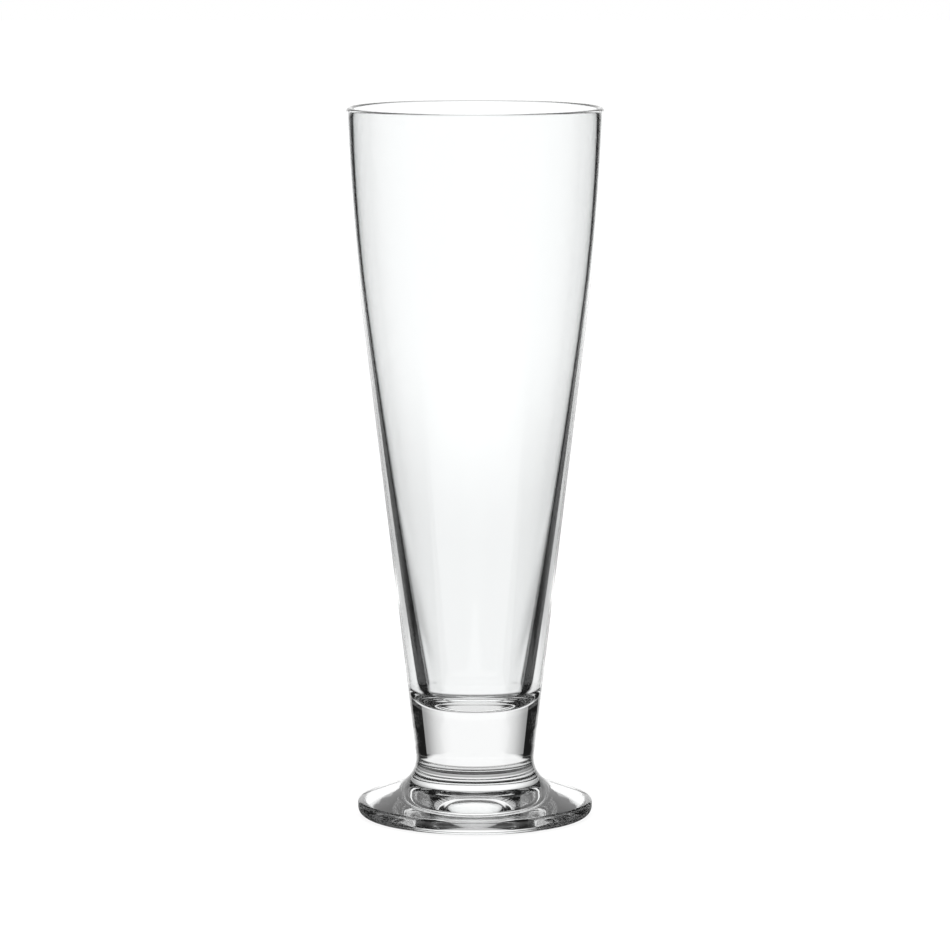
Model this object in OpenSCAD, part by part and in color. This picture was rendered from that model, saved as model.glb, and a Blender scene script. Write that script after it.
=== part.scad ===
// Footed pilsner beer glass: a tall tapering bowl, a short solid stem and a round
// pressed foot, three gathers of clear glass welded hot, face to face, on one axis.
// Millimetres, +Z up, the origin on the table under the middle of the foot.

/* [Overall] */
// Height from the table to the top of the lip
total_h = 222; // [190:1:260]

/* [Bowl] */
// Outside diameter at the lip
rim_d = 79.7; // [68:0.1:92]
// Lean of the outside wall at the lip, in degrees from upright
rim_lean = 2.1; // [0:0.1:5]
// Height at which the straight taper starts to curve upright
belly_h = 155; // [120:1:175]
// Outside diameter of the heel, level with the inside floor
heel_d = 40.6; // [36:0.1:46]
// Thickness of the lip, which is fully rounded
lip_wall = 2; // [1.4:0.1:3]
// Wall where it is thinnest
thin_wall = 1.7; // [1.2:0.1:2.4]
// Height at which the wall is thinnest
thin_h = 180; // [150:1:200]
// Wall at the heel, if it ran straight down to the inside floor
heel_wall = 6.2; // [4:0.1:8]
// How late the wall thickens on its way down: 1 is an even taper
wall_power = 1.75; // [1:0.05:3]
// Height of the inside floor above the table, if it were level
floor_h = 34.5; // [31:0.5:45]
// Rounding between the inside wall and the inside floor
floor_r = 8; // [4:0.1:9]
// Fall of the inside floor where it leaves that rounding, in degrees: it dips to the middle
floor_dip = 12; // [4:1:25]
// Glass of the bowl under the middle of its inside floor, down to the weld
base_wall = 2.7; // [2:0.1:6]

/* [Foot] */
// Outside diameter of the foot
foot_d = 73.4; // [64:0.1:86]
// Height of the foot at its rounded edge
edge_h = 5; // [4:0.1:7]
// Rounding of the edge at its top
edge_top_r = 1.2; // [0.6:0.1:2.2]
// Rounding of the edge at the table
edge_low_r = 2.6; // [0.8:0.1:3.4]
// Fall of the foot's top from the neck to the edge, in degrees
foot_slope = 20.2; // [12:0.1:22]
// Rounding of the neck, where the stem flares into the foot
neck_r = 9.5; // [8:0.1:14]
// Straight collar that the foot keeps above the neck's rounding, up to the weld
collar_h = 1; // [0.5:0.1:2]
// Width of the flat ring that the foot stands on
ring_w = 1; // [0.6:0.1:4]
// Rise of the hollow under the foot, at its middle
hollow_h = 4.7; // [1:0.1:6]

/* [Hidden] */
facets = 180;
belly_steps = 16;
wall_steps = 28;
arc_steps = 12;
clear_glass = [0.86, 0.91, 0.91, 0.45];

// Lip: a full round of half the lip's thickness
lip_r = lip_wall / 2;
lip_r_mid = rim_d / 2 - lip_r;
lip_h = total_h - lip_r;

// Outside: a straight taper from the heel, aimed at the belly's control point,
// then a parabola that ends at the lip with the lip's own lean
aim_h = (belly_h + lip_h) / 2;
aim_r = rim_d / 2 - tan(rim_lean) * (lip_h - aim_h);
taper = (aim_r - heel_d / 2) / (aim_h - floor_h);
taper_n = sqrt(1 + taper * taper);

function taper_r(h) = heel_d / 2 + taper * (h - floor_h);
function belly_r(h) =
    let (u = max(0, (h - belly_h) / (lip_h - belly_h)))
    (1 - u) * (1 - u) * taper_r(belly_h) + 2 * u * (1 - u) * aim_r + u * u * rim_d / 2;
function outside_r(h) = h < belly_h ? taper_r(h) : belly_r(h);

// Inside: the outside less the wall, which thickens to the heel and, a little, to the lip
function wall(h) = h < thin_h
    ? thin_wall + (heel_wall - thin_wall) * pow((thin_h - h) / (thin_h - floor_h), wall_power)
    : thin_wall + (lip_wall - thin_wall) * pow((h - thin_h) / (lip_h - thin_h), 2);
function inside_r(h) = outside_r(h) - wall(h);

// Points on an arc about a centre, from angle a0 to angle a1
function arc(centre, r, a0, a1) =
    [for (i = [0 : arc_steps]) let (a = a0 + (a1 - a0) * i / arc_steps) centre + r * [cos(a), sin(a)]];

// Inside floor: a rounding that touches the wall, then a shallow round dip
floor_lean = atan((inside_r(floor_h + 2 * floor_r) - inside_r(floor_h)) / (2 * floor_r));
floor_mid_h = floor_h + floor_r;
floor_top_h = floor_mid_h - floor_r * sin(floor_lean);
floor_mid_r = inside_r(floor_top_h) - floor_r * cos(floor_lean);
dip_r = floor_mid_r / sin(floor_dip) + floor_r;
dip_mid_h = floor_mid_h + (dip_r - floor_r) * cos(floor_dip);

// Neck: one rounding that touches the stem's taper and the foot's sloping top
edge_mid = [foot_d / 2 - edge_top_r, edge_h - edge_top_r];
slope_n = [sin(foot_slope), cos(foot_slope)];
taper_off = taper_n * neck_r + heel_d / 2 - taper * floor_h;
slope_off = neck_r + edge_top_r + edge_mid * slope_n;
neck_det = slope_n.y + taper * slope_n.x;
neck_mid = [
    (taper_off * slope_n.y + taper * slope_off) / neck_det,
    (slope_off - slope_n.x * taper_off) / neck_det,
];
neck_top_h = neck_mid.y + neck_r * taper / taper_n;

// Welds: flat faces square to the axis
foot_weld_h = neck_top_h + collar_h;
bowl_weld_h = dip_mid_h - dip_r - base_wall;

// Underside: a flat standing ring round a shallow round hollow
ring_out_r = foot_d / 2 - edge_low_r;
ring_in_r = ring_out_r - ring_w;
hollow_r = (ring_in_r * ring_in_r + hollow_h * hollow_h) / (2 * hollow_h);
hollow_half = asin(ring_in_r / hollow_r);

// Thin-walled tapering vessel with a fire-polished lip
module bowl() {
    outside = [for (i = [0 : belly_steps]) let (h = belly_h + (lip_h - belly_h) * i / belly_steps)
        [belly_r(h), h]];
    inside = [for (i = [0 : wall_steps]) let (h = lip_h + (floor_top_h - lip_h) * i / wall_steps)
        [inside_r(h), h]];
    lip = arc([lip_r_mid, lip_h], lip_r, 0, 180);
    corner = arc([floor_mid_r, floor_mid_h], floor_r, -floor_lean, floor_dip - 90);
    dip = arc([0, dip_mid_h], dip_r, floor_dip - 90, -90);
    color(clear_glass)
        rotate_extrude($fn = facets)
            polygon(concat(
                [[0, bowl_weld_h], [taper_r(bowl_weld_h), bowl_weld_h]],
                outside,
                [for (i = [1 : arc_steps - 1]) lip[i]],
                inside,
                [for (i = [1 : arc_steps]) corner[i]],
                [for (i = [1 : arc_steps]) dip[i]]
            ));
}

// Solid drop of glass that carries the bowl
module stem() {
    color(clear_glass)
        translate([0, 0, foot_weld_h])
            cylinder(
                h = bowl_weld_h - foot_weld_h,
                r1 = taper_r(foot_weld_h),
                r2 = taper_r(bowl_weld_h),
                $fn = facets
            );
}

// Pressed disc with the flared neck on top and a hollow underneath
module foot() {
    neck = arc(neck_mid, neck_r, 180 - atan(taper), 270 - foot_slope);
    edge_top = arc(edge_mid, edge_top_r, 90 - foot_slope, 0);
    edge_low = arc([ring_out_r, edge_low_r], edge_low_r, 0, -90);
    hollow = arc([0, hollow_h - hollow_r], hollow_r, 90 - hollow_half, 90);
    color(clear_glass)
        rotate_extrude($fn = facets)
            polygon(concat(
                [[0, foot_weld_h], [taper_r(foot_weld_h), foot_weld_h]],
                neck,
                edge_top,
                edge_low,
                hollow
            ));
}

bowl();
stem();
foot();
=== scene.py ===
"""Footed pilsner beer glass, dressed and stood in a bright-field studio.

Bowl, stem and foot are three gathers of clear glass on one axis. Each is turned from
its half outline, finished, and set in place of its plain solid. The glass and the studio
are written in millimetres and made in metres, +Z up, with the origin on the table under
the middle of the foot.
"""

import logging
import math
from dataclasses import dataclass, field
from enum import Enum

import bpy
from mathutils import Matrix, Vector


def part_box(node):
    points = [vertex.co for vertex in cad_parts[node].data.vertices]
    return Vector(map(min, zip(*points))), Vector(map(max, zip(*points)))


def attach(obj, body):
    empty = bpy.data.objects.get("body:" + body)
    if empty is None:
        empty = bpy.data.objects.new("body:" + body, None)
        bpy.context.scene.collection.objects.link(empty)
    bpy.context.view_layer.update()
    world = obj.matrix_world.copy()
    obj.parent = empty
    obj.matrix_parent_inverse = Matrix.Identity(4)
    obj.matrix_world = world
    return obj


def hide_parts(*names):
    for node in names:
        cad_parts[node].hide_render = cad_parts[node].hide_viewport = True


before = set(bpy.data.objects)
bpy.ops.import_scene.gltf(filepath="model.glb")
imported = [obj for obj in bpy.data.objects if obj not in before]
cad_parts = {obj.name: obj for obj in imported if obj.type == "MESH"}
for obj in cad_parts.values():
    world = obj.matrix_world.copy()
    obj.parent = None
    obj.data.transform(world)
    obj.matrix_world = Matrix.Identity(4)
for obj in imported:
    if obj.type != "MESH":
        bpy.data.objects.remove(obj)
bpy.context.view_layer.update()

LOG = logging.getLogger("footed_pilsner")
MM = 0.001
BODY = "root"

Point = tuple[float, float]
Colour = tuple[float, float, float, float]
Socket = bpy.types.NodeSocket
WHITE: Colour = (1.0, 1.0, 1.0, 1.0)


class Rays(Enum):
    """Which rays a studio card meets: those that glass bends or mirrors, or all of them."""

    GLASS_ONLY = "glass_only"
    ALL = "all"


def arc(centre: Point, radius: float, start: float, end: float, steps: int) -> list[Point]:
    """Points along an arc in the plane of an outline.

    Args:
        centre: Radius and height of the arc's centre.
        radius: Radius of the arc.
        start: Angle of the first point, in degrees from straight outwards.
        end: Angle of the last point, in degrees.
        steps: Number of equal steps between the two.

    Returns:
        The points, first and last included.
    """
    angles = [math.radians(start + (end - start) * i / steps) for i in range(steps + 1)]
    return [(centre[0] + radius * math.cos(a), centre[1] + radius * math.sin(a)) for a in angles]


def between(start: float, end: float, steps: int) -> list[float]:
    """Equal steps from one value to another.

    Args:
        start: First value.
        end: Last value.
        steps: Number of steps.

    Returns:
        The values, first and last included.
    """
    return [start + (end - start) * i / steps for i in range(steps + 1)]


@dataclass(frozen=True)
class Outline:
    """The half outline that the three gathers share, in millimetres and degrees."""

    total_h: float
    rim_d: float
    foot_d: float
    foot_weld_h: float
    bowl_weld_h: float
    rim_lean: float = 2.1
    belly_h: float = 155.0
    heel_d: float = 40.6
    lip_wall: float = 2.0
    thin_wall: float = 1.7
    thin_h: float = 180.0
    heel_wall: float = 6.2
    wall_power: float = 1.75
    floor_h: float = 34.5

    @classmethod
    def from_frame(cls) -> "Outline":
        """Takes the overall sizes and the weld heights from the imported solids.

        Returns:
            The outline of this glass.
        """
        bowl_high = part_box("bowl")[1]
        foot_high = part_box("foot")[1]
        stem_low, stem_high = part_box("stem")
        return cls(
            total_h=bowl_high.z / MM,
            rim_d=2 * bowl_high.x / MM,
            foot_d=2 * foot_high.x / MM,
            foot_weld_h=stem_low.z / MM,
            bowl_weld_h=stem_high.z / MM,
        )

    @property
    def lip_r(self) -> float:
        """Radius of the fire-polished lip."""
        return self.lip_wall / 2

    @property
    def lip_h(self) -> float:
        """Height of the middle of the lip's rounding."""
        return self.total_h - self.lip_r

    @property
    def aim(self) -> Point:
        """Radius and height of the point where the taper and the rim's lean would cross."""
        height = (self.belly_h + self.lip_h) / 2
        return self.rim_d / 2 - math.tan(math.radians(self.rim_lean)) * (self.lip_h - height), height

    @property
    def taper(self) -> float:
        """How much the straight side gains in radius for each millimetre of height."""
        aim_r, aim_h = self.aim
        return (aim_r - self.heel_d / 2) / (aim_h - self.floor_h)

    def taper_r(self, height: float) -> float:
        """Radius of the straight side at a height."""
        return self.heel_d / 2 + self.taper * (height - self.floor_h)

    def outside_r(self, height: float) -> float:
        """Radius of the outside: straight, then a soft curve up to the lip.

        Args:
            height: Height over the table.

        Returns:
            The radius there.
        """
        if height <= self.belly_h:
            return self.taper_r(height)
        share = (height - self.belly_h) / (self.lip_h - self.belly_h)
        rest = 1 - share
        low_r, high_r = self.taper_r(self.belly_h), self.rim_d / 2
        return rest * rest * low_r + 2 * share * rest * self.aim[0] + share * share * high_r

    def wall(self, height: float) -> float:
        """Thickness of the bowl's wall: thick at the heel, thin below the lip.

        Args:
            height: Height over the table.

        Returns:
            The thickness there.
        """
        if height < self.thin_h:
            share = (self.thin_h - height) / (self.thin_h - self.floor_h)
            return self.thin_wall + (self.heel_wall - self.thin_wall) * share**self.wall_power
        share = (height - self.thin_h) / (self.lip_h - self.thin_h)
        return self.thin_wall + (self.lip_wall - self.thin_wall) * share**2

    def inside_r(self, height: float) -> float:
        """Radius of the inside at a height."""
        return self.outside_r(height) - self.wall(height)


class Sheet:
    """A node tree with short calls to add and join its nodes."""

    EVEN_BLEND = 0.5

    def __init__(self, tree: bpy.types.NodeTree) -> None:
        """Starts from an empty tree."""
        self.tree = tree
        tree.nodes.clear()

    def add(self, kind: str, label: str, **settings: object) -> bpy.types.Node:
        """Adds a node.

        Args:
            kind: Type name of the node.
            label: What the node is for.
            settings: Attributes of the node to set.

        Returns:
            The new node.
        """
        node = self.tree.nodes.new(kind)
        node.label = label
        for key, value in settings.items():
            setattr(node, key, value)
        return node

    def join(self, source: Socket, target: Socket) -> None:
        """Links an output to an input."""
        self.tree.links.new(source, target)

    def ramp(self, label: str, source: Socket, low: Point, high: Point) -> Socket:
        """Maps one span of values smoothly onto another.

        Args:
            label: What the ramp is for.
            source: The value to map.
            low: A source value and the result there.
            high: A larger source value and the result there.

        Returns:
            The mapped value.
        """
        node = self.add("ShaderNodeMapRange", label, interpolation_type="SMOOTHSTEP")
        spans = {"From Min": low[0], "From Max": high[0], "To Min": low[1], "To Max": high[1]}
        for name, value in spans.items():
            node.inputs[name].default_value = value
        self.join(source, node.inputs["Value"])
        return node.outputs["Result"]

    def span(self, label: str, source: Socket, places: Point, levels: Point) -> Socket:
        """Maps a span of places smoothly onto a span of levels.

        Args:
            label: What the span is for.
            source: The place, in metres.
            places: Where the span starts and ends, in millimetres.
            levels: The results at the start and at the end.

        Returns:
            The mapped value.
        """
        return self.ramp(label, source, (places[0] * MM, levels[0]), (places[1] * MM, levels[1]))

    def facing(self, label: str) -> Socket:
        """Measures how edge-on a flat card is seen.

        Args:
            label: What the value is for.

        Returns:
            A value from 0, straight on, to 1, edge-on.
        """
        node = self.add("ShaderNodeLayerWeight", label)
        node.inputs["Blend"].default_value = self.EVEN_BLEND
        return node.outputs["Facing"]

    def tilt(self, label: str, facing: Socket, angles: Point, levels: Point) -> Socket:
        """Maps the angle of the view over a flat card smoothly onto a span of levels.

        Args:
            label: What the span is for.
            facing: How edge-on the card is seen, from 0 to 1.
            angles: Where the span starts and ends, in degrees over the card.
            levels: The results at the start and at the end.

        Returns:
            The mapped value.
        """
        start, end = (1 - math.sin(math.radians(angle)) for angle in angles)
        return self.ramp(label, facing, (end, levels[1]), (start, levels[0]))

    def lose(self, lit: Socket, share: float, masks: tuple[Socket, ...]) -> Socket:
        """Takes a share of the light away where all the masks meet.

        Args:
            lit: The brightness.
            share: The share that is lost.
            masks: Values from 0 to 1.

        Returns:
            The brightness that is left.
        """
        lost = share
        for mask in masks:
            lost = self.math("MULTIPLY", "light lost", mask, lost)
        kept = self.math("SUBTRACT", "light kept", 1.0, lost)
        return self.math("MULTIPLY", "lit", lit, kept)

    def math(self, operation: str, label: str, first: Socket | float, second: Socket | float) -> Socket:
        """Combines two values.

        Args:
            operation: Type name of the operation.
            label: What the result is.
            first: The first value, a socket or a plain number.
            second: The second value, a socket or a plain number.

        Returns:
            The result.
        """
        node = self.add("ShaderNodeMath", label, operation=operation)
        for value, target in zip((first, second), node.inputs):
            if isinstance(value, float):
                target.default_value = value
            else:
                self.join(value, target)
        return node.outputs["Value"]

    def place(self) -> tuple[Socket, Socket, Socket]:
        """Splits the object coordinates.

        Returns:
            The distance from the middle plane, the second coordinate and the distance
            from the object's origin, in metres.
        """
        coords = self.add("ShaderNodeTexCoord", "place")
        split = self.add("ShaderNodeSeparateXYZ", "coordinates")
        reach = self.add("ShaderNodeVectorMath", "distance from the origin", operation="LENGTH")
        self.join(coords.outputs["Object"], split.inputs["Vector"])
        self.join(coords.outputs["Object"], reach.inputs[0])
        aside = self.add("ShaderNodeMath", "distance from the middle plane", operation="ABSOLUTE")
        self.join(split.outputs["X"], aside.inputs[0])
        return aside.outputs["Value"], split.outputs["Y"], reach.outputs["Value"]


@dataclass(frozen=True)
class FirePolish:
    """The skin of hot-worked glass: slow ripples and a faint haze left by wiping."""

    ripple_detail: float = 1.0
    haze_detail: float = 4.0
    haze_swirl: float = 0.6
    haze_patches: Point = (0.45, 0.75)

    def group(self) -> bpy.types.NodeTree:
        """Builds the skin once, as a node group that all gathers share.

        Returns:
            The node group, with the inputs Ripple Scale and Haze Scale and the outputs
            Ripple, a height, and Haze, a mask.
        """
        tree = bpy.data.node_groups.new("fire_polish", "ShaderNodeTree")
        for name in ("Ripple Scale", "Haze Scale"):
            tree.interface.new_socket(name, in_out="INPUT", socket_type="NodeSocketFloat")
        for name in ("Ripple", "Haze"):
            tree.interface.new_socket(name, in_out="OUTPUT", socket_type="NodeSocketFloat")
        sheet = Sheet(tree)
        inputs = sheet.add("NodeGroupInput", "sizes")
        outputs = sheet.add("NodeGroupOutput", "skin")
        coords = sheet.add("ShaderNodeTexCoord", "place on the glass")
        ripple = sheet.add("ShaderNodeTexNoise", "slow ripple of the gather")
        ripple.inputs["Detail"].default_value = self.ripple_detail
        haze = sheet.add("ShaderNodeTexNoise", "haze left by wiping")
        haze.inputs["Detail"].default_value = self.haze_detail
        haze.inputs["Distortion"].default_value = self.haze_swirl
        for texture, scale in ((ripple, "Ripple Scale"), (haze, "Haze Scale")):
            sheet.join(coords.outputs["Object"], texture.inputs["Vector"])
            sheet.join(inputs.outputs[scale], texture.inputs["Scale"])
        clear, hazy = self.haze_patches
        patches = sheet.ramp("patches of haze", haze.outputs["Fac"], (clear, 0.0), (hazy, 1.0))
        sheet.join(ripple.outputs["Fac"], outputs.inputs["Ripple"])
        sheet.join(patches, outputs.inputs["Haze"])
        return tree


@dataclass(frozen=True)
class GlassFinish:
    """Clear soda-lime glass of one gather."""

    name: str
    tint: Colour = (0.99, 0.998, 0.998, 1.0)
    ior: float = 1.52
    ripple_scale: float = 70.0
    ripple_depth: float = 0.002
    haze_scale: float = 30.0
    haze_roughness: float = 0.006
    ring_wear_h: float = 0.0
    ring_wear_roughness: float = 0.0
    scuff_scale: float = 2500.0
    scuff_detail: float = 3.0

    def material(self, skin: bpy.types.NodeTree) -> bpy.types.Material:
        """Makes the glass's material.

        Args:
            skin: The shared fire-polish group.

        Returns:
            The material.
        """
        made = bpy.data.materials.new(self.name)
        made.use_nodes = True
        sheet = Sheet(made.node_tree)
        output = sheet.add("ShaderNodeOutputMaterial", "surface")
        glass = sheet.add("ShaderNodeBsdfPrincipled", "clear glass")
        glass.inputs["Base Color"].default_value = self.tint
        glass.inputs["IOR"].default_value = self.ior
        glass.inputs["Transmission Weight"].default_value = 1.0
        polish = sheet.add("ShaderNodeGroup", "fire polish", node_tree=skin)
        polish.inputs["Ripple Scale"].default_value = self.ripple_scale
        polish.inputs["Haze Scale"].default_value = self.haze_scale
        haze = polish.outputs["Haze"]
        roughness = sheet.math("MULTIPLY", "haze roughness", haze, self.haze_roughness)
        if self.ring_wear_h > 0:
            roughness = self.worn_ring(sheet, roughness)
        sheet.join(roughness, glass.inputs["Roughness"])
        bump = sheet.add("ShaderNodeBump", "ripple")
        bump.inputs["Strength"].default_value = 1.0
        bump.inputs["Distance"].default_value = self.ripple_depth * MM
        sheet.join(polish.outputs["Ripple"], bump.inputs["Height"])
        sheet.join(bump.outputs["Normal"], glass.inputs["Normal"])
        sheet.join(glass.outputs["BSDF"], output.inputs["Surface"])
        return made

    def worn_ring(self, sheet: Sheet, roughness: Socket) -> Socket:
        """Adds the fine scratches of the ring that the glass stands on.

        Args:
            sheet: The material's nodes.
            roughness: The roughness elsewhere.

        Returns:
            The roughness with the worn ring in it.
        """
        coords = sheet.add("ShaderNodeTexCoord", "place on the foot")
        split = sheet.add("ShaderNodeSeparateXYZ", "height over the table")
        sheet.join(coords.outputs["Object"], split.inputs["Vector"])
        low = sheet.span("standing ring", split.outputs["Z"], (0.0, self.ring_wear_h), (1.0, 0.0))
        scuffs = sheet.add("ShaderNodeTexNoise", "scuffs")
        scuffs.inputs["Scale"].default_value = self.scuff_scale
        scuffs.inputs["Detail"].default_value = self.scuff_detail
        sheet.join(coords.outputs["Object"], scuffs.inputs["Vector"])
        worn = sheet.math("MULTIPLY", "scuffed ring", low, scuffs.outputs["Fac"])
        wear = sheet.math("MULTIPLY", "wear", worn, self.ring_wear_roughness)
        return sheet.math("ADD", "roughness", roughness, wear)


def weld_material() -> bpy.types.Material:
    """Makes the hot weld between two gathers, which shows no boundary at all.

    Returns:
        The material of the welded faces.
    """
    made = bpy.data.materials.new("hot_weld")
    made.use_nodes = True
    made.node_tree.nodes["Principled BSDF"].inputs["Alpha"].default_value = 0.0
    return made


@dataclass
class Gather:
    """One gather of glass, turned about the upright axis from a half outline."""

    outline: Outline
    node: str = ""
    segments: int = 256
    merge_gap: float = 0.001
    smooth_angle: float = 30.0
    weld_flatness: float = 0.999
    weld_slack: float = 0.01
    weld_heights: tuple[float, ...] = ()
    obj: bpy.types.Object | None = field(default=None, init=False)

    def points(self) -> list[Point]:
        """The half outline, from the axis round to the axis."""
        raise NotImplementedError

    def build(self) -> "Gather":
        """Draws the half outline point by point and spins it into a closed skin.

        Returns:
            The gather itself, with its object made.
        """
        points = self.points()
        start_r, start_h = points[0]
        bpy.ops.object.select_all(action="DESELECT")
        bpy.ops.mesh.primitive_plane_add(size=MM, location=(start_r * MM, 0, start_h * MM))
        self.obj = bpy.context.active_object
        self.obj.name = self.obj.data.name = f"{self.node}_glass"
        bpy.ops.object.mode_set(mode="EDIT")
        bpy.ops.mesh.merge(type="CENTER")
        for here, there in zip(points, points[1:]):
            move = ((there[0] - here[0]) * MM, 0, (there[1] - here[1]) * MM)
            bpy.ops.mesh.extrude_vertices_move(TRANSFORM_OT_translate={"value": move})
        bpy.ops.mesh.select_all(action="SELECT")
        bpy.ops.mesh.spin(steps=self.segments, angle=2 * math.pi, center=(0, 0, 0), axis=(0, 0, 1))
        bpy.ops.mesh.select_all(action="SELECT")
        bpy.ops.mesh.remove_doubles(threshold=self.merge_gap * MM)
        bpy.ops.mesh.normals_make_consistent(inside=False)
        bpy.ops.object.mode_set(mode="OBJECT")
        bpy.ops.object.transform_apply(location=True, rotation=True, scale=True)
        bpy.ops.object.shade_smooth_by_angle(angle=math.radians(self.smooth_angle))
        return self

    def is_welded(self, face: bpy.types.MeshPolygon) -> bool:
        """Tells whether a face belongs to a weld.

        Args:
            face: A face of the gather's mesh.

        Returns:
            True where the face lies flat at the height of a weld.
        """
        height = face.center.z / MM
        at_weld = any(abs(height - weld_h) < self.weld_slack for weld_h in self.weld_heights)
        return at_weld and abs(face.normal.z) > self.weld_flatness

    def dress(self, finish: GlassFinish, skin: bpy.types.NodeTree, weld: bpy.types.Material) -> None:
        """Gives the gather its glass, its invisible welds and its place in the frame.

        Args:
            finish: The glass of this gather.
            skin: The shared fire-polish group.
            weld: The material of welded faces.
        """
        mesh = self.obj.data
        mesh.materials.append(finish.material(skin))
        mesh.materials.append(weld)
        for face in mesh.polygons:
            face.material_index = int(self.is_welded(face))
        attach(self.obj, BODY)
        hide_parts(self.node)
        LOG.info("%s: %d faces, slot %s", self.obj.name, len(mesh.polygons), finish.name)


@dataclass
class Bowl(Gather):
    """The tall tapering bowl, from its weld on the stem to its lip."""

    node: str = "bowl"
    floor_r: float = 8.0
    floor_dip: float = 12.0
    side_steps: int = 44
    belly_steps: int = 40
    inside_steps: int = 96
    lip_steps: int = 24
    corner_steps: int = 32
    dip_steps: int = 16

    def points(self) -> list[Point]:
        """Weld, outside, lip, inside, rounded corner and dipped floor.

        Returns:
            The half outline, from the axis round to the axis.
        """
        outline = self.outline
        self.weld_heights = (outline.bowl_weld_h,)
        dip = math.radians(self.floor_dip)
        corner_h = 2 * self.floor_r
        corner_gain = outline.inside_r(outline.floor_h + corner_h) - outline.inside_r(outline.floor_h)
        lean = math.atan(corner_gain / corner_h)
        mid_h = outline.floor_h + self.floor_r
        top_h = mid_h - self.floor_r * math.sin(lean)
        mid_r = outline.inside_r(top_h) - self.floor_r * math.cos(lean)
        dip_r = mid_r / math.sin(dip) + self.floor_r
        dip_mid_h = mid_h + (dip_r - self.floor_r) * math.cos(dip)
        floor_end = self.floor_dip - 90
        lip_mid = (outline.rim_d / 2 - outline.lip_r, outline.lip_h)
        side = between(outline.bowl_weld_h, outline.belly_h, self.side_steps)
        belly = between(outline.belly_h, outline.lip_h, self.belly_steps)[1:-1]
        inside = between(outline.lip_h, top_h, self.inside_steps)[1:-1]
        return [
            (0.0, outline.bowl_weld_h),
            *[(outline.outside_r(h), h) for h in side + belly],
            *arc(lip_mid, outline.lip_r, 0, 180, self.lip_steps),
            *[(outline.inside_r(h), h) for h in inside],
            *arc((mid_r, mid_h), self.floor_r, -math.degrees(lean), floor_end, self.corner_steps),
            *arc((0.0, dip_mid_h), dip_r, floor_end, -90, self.dip_steps)[1:-1],
            (0.0, dip_mid_h - dip_r),
        ]


@dataclass
class Stem(Gather):
    """The short solid stem between the two welds."""

    node: str = "stem"
    side_steps: int = 4

    def points(self) -> list[Point]:
        """Lower weld, straight side and upper weld.

        Returns:
            The half outline, from the axis round to the axis.
        """
        low_h, high_h = self.outline.foot_weld_h, self.outline.bowl_weld_h
        self.weld_heights = (low_h, high_h)
        side = between(low_h, high_h, self.side_steps)
        return [(0.0, low_h), *[(self.outline.taper_r(h), h) for h in side], (0.0, high_h)]


@dataclass
class Foot(Gather):
    """The round pressed foot, hollow beneath, with its neck and its standing ring."""

    node: str = "foot"
    edge_h: float = 5.0
    edge_top_r: float = 1.2
    edge_low_r: float = 2.6
    foot_slope: float = 20.2
    neck_r: float = 9.5
    ring_w: float = 1.0
    hollow_h: float = 4.7
    neck_steps: int = 44
    slope_steps: int = 4
    edge_steps: int = 18
    hollow_steps: int = 60

    @property
    def edge_mid(self) -> Point:
        """Radius and height of the centre of the edge's upper rounding."""
        return self.outline.foot_d / 2 - self.edge_top_r, self.edge_h - self.edge_top_r

    @property
    def ring_out_r(self) -> float:
        """Outer radius of the flat ring that the glass stands on."""
        return self.outline.foot_d / 2 - self.edge_low_r

    @property
    def ring_in_r(self) -> float:
        """Inner radius of the standing ring, where the hollow starts."""
        return self.ring_out_r - self.ring_w

    def neck_mid(self) -> Point:
        """Centre of the neck's curve, which touches both the straight side and the foot's slope.

        Returns:
            Its radius and height.
        """
        outline = self.outline
        taper = outline.taper
        slope = math.radians(self.foot_slope)
        out, up = math.sin(slope), math.cos(slope)
        edge_r, edge_h = self.edge_mid
        side_off = math.hypot(1, taper) * self.neck_r + outline.heel_d / 2 - taper * outline.floor_h
        slope_off = self.neck_r + self.edge_top_r + (edge_r * out + edge_h * up)
        det = up + taper * out
        return (side_off * up + taper * slope_off) / det, (slope_off - out * side_off) / det

    def points(self) -> list[Point]:
        """Upper weld, neck, slope, rounded edge, standing ring and hollow.

        Returns:
            The half outline, from the axis round to the axis.
        """
        outline = self.outline
        self.weld_heights = (outline.foot_weld_h,)
        lean = math.degrees(math.atan(outline.taper))
        neck = arc(self.neck_mid(), self.neck_r, 180 - lean, 270 - self.foot_slope, self.neck_steps)
        edge_top = arc(self.edge_mid, self.edge_top_r, 90 - self.foot_slope, 0, self.edge_steps)
        edge_low = arc((self.ring_out_r, self.edge_low_r), self.edge_low_r, 0, -90, self.edge_steps)
        slope_r, slope_h = (between(*ends, self.slope_steps) for ends in zip(neck[-1], edge_top[0]))
        hollow_r = (self.ring_in_r**2 + self.hollow_h**2) / (2 * self.hollow_h)
        half = math.degrees(math.asin(self.ring_in_r / hollow_r))
        hollow = arc((0.0, self.hollow_h - hollow_r), hollow_r, 90 - half, 90, self.hollow_steps)
        return [
            (0.0, outline.foot_weld_h),
            (outline.taper_r(outline.foot_weld_h), outline.foot_weld_h),
            *neck,
            *list(zip(slope_r, slope_h))[1:-1],
            *edge_top,
            *edge_low,
            *hollow[:-1],
            (0.0, self.hollow_h),
        ]


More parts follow.
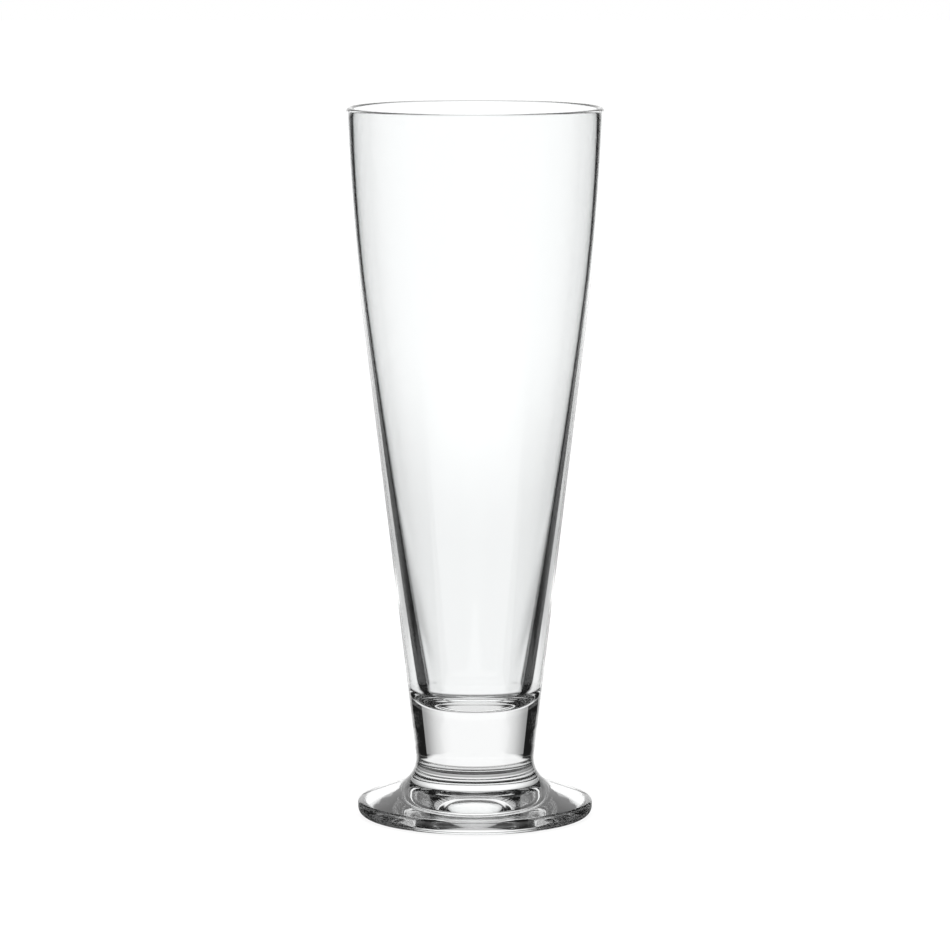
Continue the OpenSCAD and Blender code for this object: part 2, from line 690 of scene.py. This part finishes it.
@dataclass(frozen=True)
class Viewpoint:
    """Where the picture is taken from, in millimetres and degrees, and through which lens."""

    distance: float = 1591.73
    height: float = 314.4
    pitch: float = 7.413
    focal_px: float = 5144.5
    image_px: float = 950.0
    sensor: float = 36.0
    near_limit: float = 10.0

    def build(self) -> bpy.types.Object:
        """Makes the camera and hands it to the scene.

        Returns:
            The camera.
        """
        bpy.ops.object.select_all(action="DESELECT")
        place = (0, -self.distance * MM, self.height * MM)
        turn = (math.radians(90 - self.pitch), 0, 0)
        bpy.ops.object.camera_add(location=place, rotation=turn)
        camera = bpy.context.active_object
        camera.name = "camera"
        camera.data.sensor_width = self.sensor
        camera.data.lens = self.focal_px * self.sensor / self.image_px
        camera.data.clip_start = self.near_limit * MM
        bpy.context.scene.camera = camera
        return camera


def glow(name: str) -> tuple[bpy.types.Material, Sheet, bpy.types.Node]:
    """Makes a plain glowing material.

    Args:
        name: The material's name.

    Returns:
        The material, its nodes and its emission node.
    """
    made = bpy.data.materials.new(name)
    made.use_nodes = True
    sheet = Sheet(made.node_tree)
    output = sheet.add("ShaderNodeOutputMaterial", "surface")
    light = sheet.add("ShaderNodeEmission", "brightness")
    light.inputs["Color"].default_value = WHITE
    sheet.join(light.outputs["Emission"], output.inputs["Surface"])
    return made, sheet, light


def card(
    name: str,
    size: Point,
    place: tuple[float, float, float],
    turn: tuple[float, float, float],
    material: bpy.types.Material,
    rays: Rays,
) -> bpy.types.Object:
    """Stands a flat studio card.

    Args:
        name: Its name.
        size: Its width and height, in millimetres.
        place: Its middle, in millimetres.
        turn: Its rotation, in degrees.
        material: Its finish.
        rays: Which rays meet it.

    Returns:
        The card.
    """
    bpy.ops.object.select_all(action="DESELECT")
    bpy.ops.mesh.primitive_plane_add(
        size=1, location=[v * MM for v in place], rotation=[math.radians(v) for v in turn]
    )
    made = bpy.context.active_object
    made.name = name
    made.scale = (size[0] * MM, size[1] * MM, 1)
    bpy.ops.object.transform_apply(location=False, rotation=False, scale=True)
    made.data.materials.append(material)
    if rays is Rays.GLASS_ONLY:
        made.visible_camera = False
        made.visible_diffuse = False
        made.visible_shadow = False
        made.visible_volume_scatter = False
    return made


@dataclass(frozen=True)
class Table:
    """The white table, with the painted light and shade that the glass mirrors and bends."""

    # White top, a hair under the foot, with a faint shadow
    size: float = 12000.0
    air_gap: float = 0.04
    shadow_share: float = 0.08
    paint: Colour = (0.8, 0.8, 0.8, 1.0)
    near_r: Point = (150.0, 500.0)
    far_level: float = 1.15
    # Dark sheet that only the glass sees: painted shade, with a painted patch of light under the stem
    shade_size: float = 12000.0
    shade_level: float = 0.012
    core_r: Point = (18.0, 26.0)
    core_level: float = 0.8
    # Painted light behind the foot, in a wedge that opens from an apex in front of it
    back_edge_y: Point = (35.0, 56.0)
    back_apex: float = 35.0
    back_spread: Point = (0.45, 0.8)
    back_side: float = 0.03
    # Painted sheen lost at the wedge's sides, in views from above
    side_spread: Point = (0.24, 0.36)
    side_y: Point = (95.0, 125.0)
    side_angle: Point = (17.5, 23.6)
    side_loss: float = 0.9
    # Painted sheen lost far behind, in views from higher up
    far_y: Point = (150.0, 200.0)
    far_angle: Point = (30.0, 38.0)
    far_loss: float = 0.36
    # Painted shade far behind and wide of the middle, in a narrow range of views
    wide_x: Point = (35.0, 110.0)
    wide_low: Point = (13.0, 15.5)
    wide_high: Point = (18.0, 22.0)
    wide_loss: float = 0.35
    # Painted light in front of the foot, which fades aside
    front_edge_y: Point = (-46.0, -36.0)
    front_level: float = 0.9
    front_x: Point = (150.0, 400.0)
    front_side: float = 0.1

    def top(self) -> bpy.types.Object:
        """Lays the white table, which glows and takes a faint shadow.

        Returns:
            The table.
        """
        material, sheet, light = glow("white_table")
        _, _, reach = sheet.place()
        level = sheet.span("white far off", reach, self.near_r, (1.0, self.far_level))
        sheet.join(level, light.inputs["Strength"])
        matte = sheet.add("ShaderNodeBsdfDiffuse", "matte paint that takes the shadow")
        matte.inputs["Color"].default_value = self.paint
        blend = sheet.add("ShaderNodeMixShader", "glow and shadow")
        blend.inputs["Fac"].default_value = self.shadow_share
        sheet.join(light.outputs["Emission"], blend.inputs[1])
        sheet.join(matte.outputs["BSDF"], blend.inputs[2])
        sheet.join(blend.outputs["Shader"], sheet.tree.nodes["Material Output"].inputs["Surface"])
        size = (self.size, self.size)
        return card("table", size, (0, 0, -self.air_gap), (0, 0, 0), material, Rays.ALL)

    def shade(self) -> bpy.types.Object:
        """Lays the table as the glass sees it, with painted light and shade: lit from behind and
        before, dark at the sides.

        Returns:
            The shaded sheet on the table.
        """
        material, sheet, light = glow("painted_table_light_and_shade")
        aside, depth, reach = sheet.place()
        width = sheet.span("width in front", aside, self.front_x, (1.0, self.front_side))
        edge = sheet.span("edge before the foot", depth, self.front_edge_y, (self.front_level, 0.0))
        before = sheet.math("MULTIPLY", "lit in front", width, edge)
        # Painted patch of light under the stem, where light would gather through the glass
        core = sheet.span("lit through the stem", reach, self.core_r, (self.core_level, 0.0))
        behind = self.behind(sheet, aside, depth)
        total = sheet.math("MAXIMUM", "lit", behind, before)
        total = sheet.math("MAXIMUM", "lit anywhere", total, core)
        total = sheet.math("MAXIMUM", "never quite black", total, self.shade_level)
        sheet.join(total, light.inputs["Strength"])
        size = (self.shade_size, self.shade_size)
        place = (0, 0, -self.air_gap / 2)
        return card("painted_table_sheet", size, place, (0, 0, 0), material, Rays.GLASS_ONLY)

    def behind(self, sheet: Sheet, aside: Socket, depth: Socket) -> Socket:
        """Paints the backdrop's light over the table, with a painted sheen that shines most in low
        views.

        Args:
            sheet: The material's nodes.
            aside: Distance from the middle plane.
            depth: Distance behind the glass.

        Returns:
            The brightness behind the glass.
        """
        from_apex = sheet.math("ADD", "depth from the spill's apex", depth, self.back_apex * MM)
        ahead = sheet.math("MAXIMUM", "never at the apex itself", from_apex, MM)
        spread = sheet.math("DIVIDE", "spread of the spill", aside, ahead)
        low, high = self.back_spread
        spill = sheet.ramp("spill of the backdrop", spread, (low, 1.0), (high, self.back_side))
        edge = sheet.span("edge behind the foot", depth, self.back_edge_y, (0.0, 1.0))
        lit = sheet.math("MULTIPLY", "lit behind", spill, edge)
        # Painted sheen: the sheet is brightest seen low and loses light seen from above
        facing = sheet.facing("how low the view is")
        low, high = self.side_spread
        sides = sheet.ramp("to the sides", spread, (low, 0.0), (high, 1.0))
        past = sheet.span("past the foot", depth, self.side_y, (0.0, 1.0))
        dull = sheet.tilt("sides dull from above", facing, self.side_angle, (0.0, 1.0))
        lit = sheet.lose(lit, self.side_loss, (sides, past, dull))
        far = sheet.span("far behind", depth, self.far_y, (0.0, 1.0))
        steep = sheet.tilt("far table dull from above", facing, self.far_angle, (0.0, 1.0))
        lit = sheet.lose(lit, self.far_loss, (far, steep))
        wide = sheet.span("wide of the middle", aside, self.wide_x, (0.0, 1.0))
        above = sheet.tilt("not in the lowest views", facing, self.wide_low, (0.0, 1.0))
        below = sheet.tilt("not in the higher views", facing, self.wide_high, (1.0, 0.0))
        return sheet.lose(lit, self.wide_loss, (far, wide, above, below))


@dataclass(frozen=True)
class Studio:
    """A pale table, a bright backdrop and ceiling, and two dark flags that draw the glass's edges."""

    # Dark flag on each side of the glass
    flag_gap: float = 82.0
    flag_back: float = 108.0
    flag_front: float = 60.0
    flag_h: float = 230.0
    flag_grey: float = 0.012
    # Backdrop, which fades aside and to the top
    back_y: float = 400.0
    back_size: Point = (1200.0, 900.0)
    back_fade_x: Point = (90.0, 360.0)
    back_edge: float = 0.35
    back_lift_h: Point = (5.0, 100.0)
    back_lift: float = 1.2
    back_top_h: Point = (320.0, 700.0)
    back_top: float = 0.4
    # Painted shade low on the backdrop and beside the glass, where it is seen straight on
    low_x: Point = (48.0, 58.0)
    low_h: Point = (22.0, 34.0)
    low_angle: Point = (83.0, 85.0)
    low_loss: float = 0.75
    # Glowing ceiling of painted overhead light, room and lamp, which is set in watts
    ceiling_size: Point = (1400.0, 500.0)
    ceiling_y: float = 260.0
    ceiling_h: float = 700.0
    ceiling_level: float = 0.7
    room_level: float = 0.01
    lamp_power: float = 45.0
    lamp_size: float = 900.0
    lamp_h: float = 1400.0

    def on_backdrop(self, heights: Point) -> Point:
        """Measures two heights over the table from the backdrop's middle instead."""
        middle = self.back_size[1] / 2
        return heights[0] - middle, heights[1] - middle

    def backdrop(self) -> bpy.types.Object:
        """Stands the bright backdrop, which fades aside and upwards and has painted shade low down.

        Returns:
            The backdrop.
        """
        material, sheet, light = glow("bright_backdrop")
        aside, height, _ = sheet.place()
        lift_h = self.on_backdrop(self.back_lift_h)
        top_h = self.on_backdrop(self.back_top_h)
        low_h = self.on_backdrop(self.low_h)
        fade = sheet.span("fade aside", aside, self.back_fade_x, (1.0, self.back_edge))
        lift = sheet.span("brighter above", height, lift_h, (1.0, self.back_lift))
        top = sheet.span("fade to the top", height, top_h, (1.0, self.back_top))
        shade = sheet.math("MULTIPLY", "up and down", lift, top)
        lit = sheet.math("MULTIPLY", "brightness", shade, fade)
        # Painted shade low on the backdrop beside the glass
        facing = sheet.facing("how straight the view is")
        straight = sheet.tilt("straight on", facing, self.low_angle, (0.0, 1.0))
        beside = sheet.span("beside the glass", aside, self.low_x, (0.0, 1.0))
        low = sheet.span("near the table", height, low_h, (1.0, 0.0))
        lit = sheet.lose(lit, self.low_loss, (straight, beside, low))
        sheet.join(lit, light.inputs["Strength"])
        place = (0, self.back_y, self.back_size[1] / 2)
        return card("backdrop", self.back_size, place, (90, 0, 0), material, Rays.GLASS_ONLY)

    def ceiling(self) -> bpy.types.Object:
        """Hangs a glowing ceiling card over the back of the table, painted overhead light that only the
        glass sees.

        Returns:
            The ceiling.
        """
        material, _, light = glow("glowing_ceiling_card")
        light.inputs["Strength"].default_value = self.ceiling_level
        place = (0, self.ceiling_y, self.ceiling_h)
        return card("ceiling", self.ceiling_size, place, (0, 0, 0), material, Rays.GLASS_ONLY)

    def flags(self) -> list[bpy.types.Object]:
        """Stands a dark flag on each side of the glass.

        Returns:
            The two flags.
        """
        material, _, light = glow("dark_flag")
        light.inputs["Strength"].default_value = self.flag_grey
        size = (self.flag_back + self.flag_front, self.flag_h)
        depth = (self.flag_back - self.flag_front) / 2
        made = []
        for name, side in (("left", -1), ("right", 1)):
            place = (side * self.flag_gap, depth, self.flag_h / 2)
            made.append(card(f"flag_{name}", size, place, (90, 0, 90), material, Rays.GLASS_ONLY))
        return made

    def turn_to(self, camera: bpy.types.Object, cards: list[bpy.types.Object]) -> None:
        """Sets the cards on a turntable round the glass that faces the camera.

        Args:
            camera: The camera.
            cards: The cards that turn with it.
        """
        bpy.ops.object.select_all(action="DESELECT")
        bpy.ops.object.empty_add(type="PLAIN_AXES", location=(0, 0, 0))
        turntable = bpy.context.active_object
        turntable.name = "turntable"
        facing = turntable.constraints.new("LOCKED_TRACK")
        facing.target = camera
        facing.track_axis = "TRACK_NEGATIVE_Y"
        facing.lock_axis = "LOCK_Z"
        for each in cards:
            each.parent = turntable

    def lamp(self) -> bpy.types.Object:
        """Hangs one large soft lamp over the table.

        Returns:
            The lamp.
        """
        bpy.ops.object.select_all(action="DESELECT")
        bpy.ops.object.light_add(type="AREA", location=(0, 0, self.lamp_h * MM))
        made = bpy.context.active_object
        made.name = "soft_lamp"
        made.data.size = self.lamp_size * MM
        made.data.energy = self.lamp_power
        made.visible_glossy = False
        made.visible_transmission = False
        return made

    def room(self) -> None:
        """Makes the room white behind the picture and dim in the glass."""
        world = bpy.data.worlds.new("room")
        bpy.context.scene.world = world
        world.use_nodes = True
        sheet = Sheet(world.node_tree)
        output = sheet.add("ShaderNodeOutputWorld", "room")
        path = sheet.add("ShaderNodeLightPath", "kind of ray")
        dim = sheet.add("ShaderNodeBackground", "dim room")
        dim.inputs["Color"].default_value = WHITE
        dim.inputs["Strength"].default_value = self.room_level
        bright = sheet.add("ShaderNodeBackground", "white behind")
        bright.inputs["Color"].default_value = WHITE
        blend = sheet.add("ShaderNodeMixShader", "seen or mirrored")
        sheet.join(path.outputs["Is Camera Ray"], blend.inputs["Fac"])
        sheet.join(dim.outputs["Background"], blend.inputs[1])
        sheet.join(bright.outputs["Background"], blend.inputs[2])
        sheet.join(blend.outputs["Shader"], output.inputs["Surface"])

    def build(self, camera: bpy.types.Object) -> None:
        """Puts up the whole studio.

        Args:
            camera: The camera that the cards face.
        """
        table = Table()
        table.top()
        cards = [table.shade(), self.backdrop(), self.ceiling(), *self.flags()]
        self.turn_to(camera, cards)
        self.lamp()
        self.room()
        LOG.info("studio: table, %d cards and a soft lamp", len(cards))


def set_picture(depth: int = 128) -> None:
    """Lets light pass through every wall of the glass, and shows all tones as they are.

    Args:
        depth: How many surfaces a ray may cross.
    """
    settings = bpy.context.scene.cycles
    settings.max_bounces = depth
    settings.transmission_bounces = depth
    settings.transparent_max_bounces = depth
    settings.glossy_bounces = depth
    bpy.context.scene.view_settings.view_transform = "Standard"


def main() -> None:
    """Builds the glass, its finish and its studio in order."""
    logging.basicConfig(level=logging.INFO, format="%(message)s")
    outline = Outline.from_frame()
    skin = FirePolish().group()
    weld = weld_material()
    gathers = (
        (Bowl(outline), GlassFinish("bowl_glass")),
        (Stem(outline), GlassFinish("stem_glass")),
        (Foot(outline), GlassFinish("foot_glass", ring_wear_h=0.3, ring_wear_roughness=0.35)),
    )
    for gather, finish in gathers:
        gather.build().dress(finish, skin, weld)
    camera = Viewpoint().build()
    Studio().build(camera)
    set_picture()


if __name__ == "__main__":
    main()
